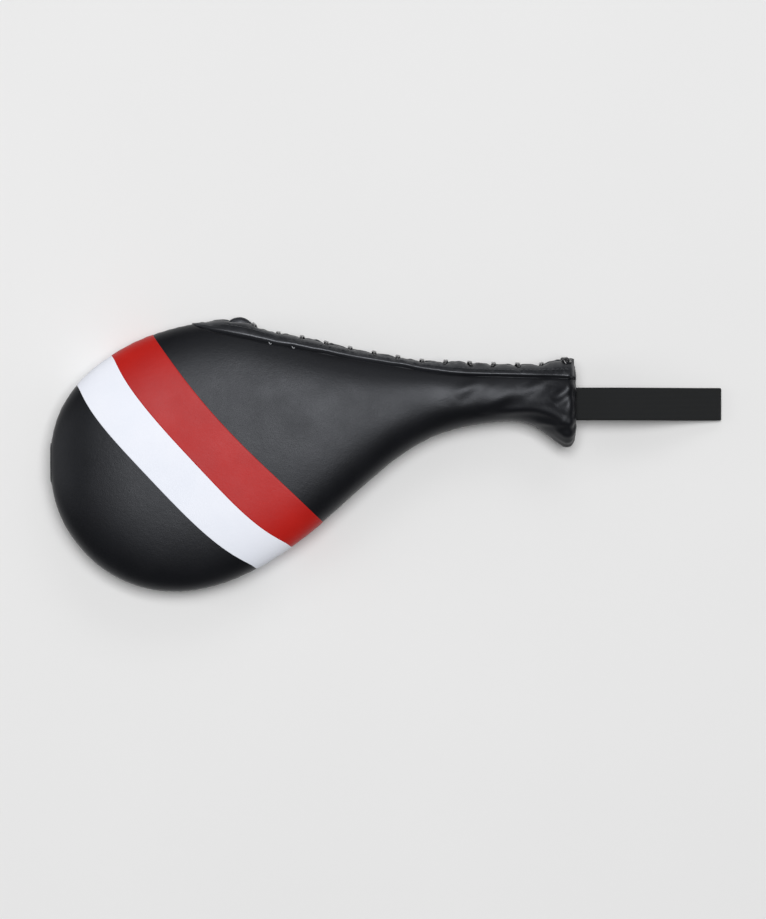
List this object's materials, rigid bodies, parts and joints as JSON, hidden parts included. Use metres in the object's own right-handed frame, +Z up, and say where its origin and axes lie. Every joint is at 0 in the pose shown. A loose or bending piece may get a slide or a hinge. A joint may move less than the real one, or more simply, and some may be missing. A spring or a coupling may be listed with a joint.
{
  "type": "kick paddle",
  "caption": "Teardrop padded striking paddle with a laced synthetic leather cover, two colour bands and a webbing wrist loop on the butt.",
  "frame": {"origin": "middle of the paddle's footprint, strap included, at the floor it lies on", "axes": "+X along the grip from the head to the wrist strap, +Y towards the laced edge, +Z up out of the face"},
  "size_m": [0.5122, 0.2083, 0.054],
  "materials": {
    "cover_black": "matte synthetic leather",
    "film_white": "matte synthetic leather",
    "film_red": "matte synthetic leather",
    "hem_black": "satin synthetic leather",
    "thread_grey": "sewing thread",
    "lace_black": "waxed cord",
    "webbing_black": "woven elastic webbing",
    "foam_soft": "closed cell foam",
    "foam_dense": "dense closed cell foam",
    "plate_plastic": "flexible plastic sheet"
  },
  "bodies": {
    "paddle": {"cover_front": "cover_black", "cover_back": "cover_black", "white_stripe_front": "film_white", "white_stripe_back": "film_white", "red_stripe_front": "film_red", "red_stripe_back": "film_red", "hem_strip_front": "hem_black", "hem_strip_back": "hem_black", "hem_stitches_front": "thread_grey", "hem_stitches_back": "thread_grey", "closure_lace": "lace_black", "rim_seam_thread": "thread_grey", "spine_plate": "plate_plastic", "core_foam_front": "foam_soft", "core_foam_back": "foam_soft", "strike_pad_front": "foam_dense", "strike_pad_back": "foam_dense", "grip_foam_front": "foam_soft", "grip_foam_back": "foam_soft", "pommel_block": "foam_dense", "strap_anchor": "webbing_black", "strap_bartacks": "thread_grey"},
    "strap": {"wrist_strap": "webbing_black"}
  },
  "joints": [
    {"name": "strap_swing", "type": "hinge", "parent": "paddle", "child": "strap", "pos_m": [0.148, 0.03965, 0.02945], "axis": [0, 1, 0], "range_deg": [-80, 70]}
  ]
}
